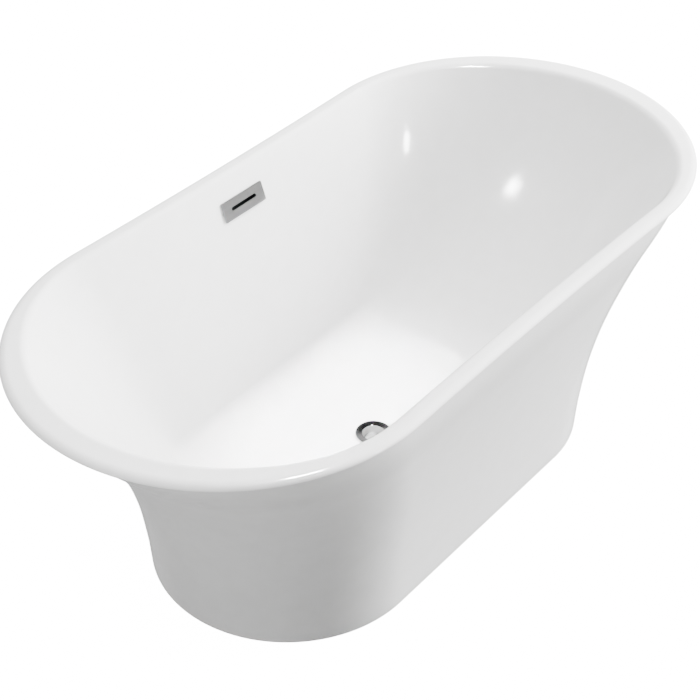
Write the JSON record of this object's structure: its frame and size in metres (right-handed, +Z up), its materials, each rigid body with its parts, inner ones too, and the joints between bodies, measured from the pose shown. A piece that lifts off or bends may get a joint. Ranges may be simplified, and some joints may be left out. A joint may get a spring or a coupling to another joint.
{
  "type": "freestanding bathtub",
  "caption": "Freestanding double-walled bathtub with rounded ends, flared skirt, rolled rim, centre pop-up drain, slot overflow and levelling feet under a steel frame.",
  "frame": {"origin": "on the ground under the middle of the tub", "axes": "+X along the length, +Y towards the side with the overflow, +Z up"},
  "size_m": [1.4998, 0.7398, 0.556],
  "materials": {
    "white_acrylic": "gloss, moulded",
    "adhesive": "matt bead",
    "board": "raw board",
    "zinc_tube": "galvanised",
    "resin": "glass-fibre resin",
    "zinc_screws": "zinc plated",
    "dark_chrome": "polished, dark",
    "chrome": "polished",
    "satin_chrome": "satin",
    "brass_body": "as cast and machined",
    "black_rubber": "matt",
    "black_nylon": "matt",
    "black_abs": "matt",
    "spring_steel": "bright"
  },
  "bodies": {
    "tub": {"basin_shell": "white_acrylic", "skirt_shell": "white_acrylic", "rim_adhesive_bead": "adhesive", "bottom_board": "board", "frame_rail_near": "zinc_tube", "frame_rail_far": "zinc_tube", "frame_cross_member_1": "zinc_tube", "frame_cross_member_2": "zinc_tube", "frame_cross_member_3": "zinc_tube", "frame_cross_member_4": "zinc_tube", "frame_outriggers": "zinc_tube", "skirt_brackets": "zinc_tube", "skirt_bond_pads": "resin", "bracket_screws": "zinc_screws", "board_screws": "zinc_screws", "foot_weld_nuts": "zinc_screws", "foot_lock_nuts": "zinc_screws", "drain_flange": "dark_chrome", "drain_flange_gasket": "black_rubber", "drain_body_gasket": "black_rubber", "drain_body": "brass_body", "strainer_cross": "brass_body", "click_cartridge": "brass_body", "outlet_tailpiece": "chrome", "outlet_washer": "black_rubber", "outlet_nut": "chrome", "overflow_plate": "satin_chrome", "overflow_gasket": "black_rubber", "overflow_back_gasket": "black_rubber", "overflow_body": "black_abs", "overflow_nuts": "brass_body", "overflow_duct": "black_abs", "plug_spring": "spring_steel"},
    "plug": {"plug_cap": "chrome", "plug_seal": "black_rubber", "plug_stem": "chrome"},
    "foot_1_base": {"foot_1_pad": "black_nylon", "foot_1_sole": "black_rubber"},
    "foot_1_screw": {"foot_1_stud": "zinc_screws"},
    "foot_2_base": {"foot_2_pad": "black_nylon", "foot_2_sole": "black_rubber"},
    "foot_2_screw": {"foot_2_stud": "zinc_screws"},
    "foot_3_base": {"foot_3_pad": "black_nylon", "foot_3_sole": "black_rubber"},
    "foot_3_screw": {"foot_3_stud": "zinc_screws"},
    "foot_4_base": {"foot_4_pad": "black_nylon", "foot_4_sole": "black_rubber"},
    "foot_4_screw": {"foot_4_stud": "zinc_screws"}
  },
  "joints": [
    {"name": "plug_pop", "type": "slide", "parent": "tub", "child": "plug", "axis": [0, 0, 1], "range_m": [0, 0.01], "deforming": ["plug_spring"]},
    {"name": "foot_1_travel", "type": "slide", "parent": "tub", "child": "foot_1_base", "axis": [0, 0, -1], "range_m": [0, 0.02]},
    {"name": "foot_1_turn", "type": "hinge", "parent": "foot_1_base", "child": "foot_1_screw", "pos_m": [-0.375, -0.12, 0.05], "axis": [0, 0, -1], "range_deg": [0, 4810]},
    {"name": "foot_2_travel", "type": "slide", "parent": "tub", "child": "foot_2_base", "axis": [0, 0, -1], "range_m": [0, 0.02]},
    {"name": "foot_2_turn", "type": "hinge", "parent": "foot_2_base", "child": "foot_2_screw", "pos_m": [0.375, -0.12, 0.05], "axis": [0, 0, -1], "range_deg": [0, 4810]},
    {"name": "foot_3_travel", "type": "slide", "parent": "tub", "child": "foot_3_base", "axis": [0, 0, -1], "range_m": [0, 0.02]},
    {"name": "foot_3_turn", "type": "hinge", "parent": "foot_3_base", "child": "foot_3_screw", "pos_m": [0.375, 0.12, 0.05], "axis": [0, 0, -1], "range_deg": [0, 4810]},
    {"name": "foot_4_travel", "type": "slide", "parent": "tub", "child": "foot_4_base", "axis": [0, 0, -1], "range_m": [0, 0.02]},
    {"name": "foot_4_turn", "type": "hinge", "parent": "foot_4_base", "child": "foot_4_screw", "pos_m": [-0.375, 0.12, 0.05], "axis": [0, 0, -1], "range_deg": [0, 4810]}
  ],
  "couplings": [
    {"joint": "foot_1_turn", "follows": "foot_1_travel", "rad_per_m": 4188.8},
    {"joint": "foot_2_turn", "follows": "foot_2_travel", "rad_per_m": 4188.8},
    {"joint": "foot_3_turn", "follows": "foot_3_travel", "rad_per_m": 4188.8},
    {"joint": "foot_4_turn", "follows": "foot_4_travel", "rad_per_m": 4188.8}
  ]
}
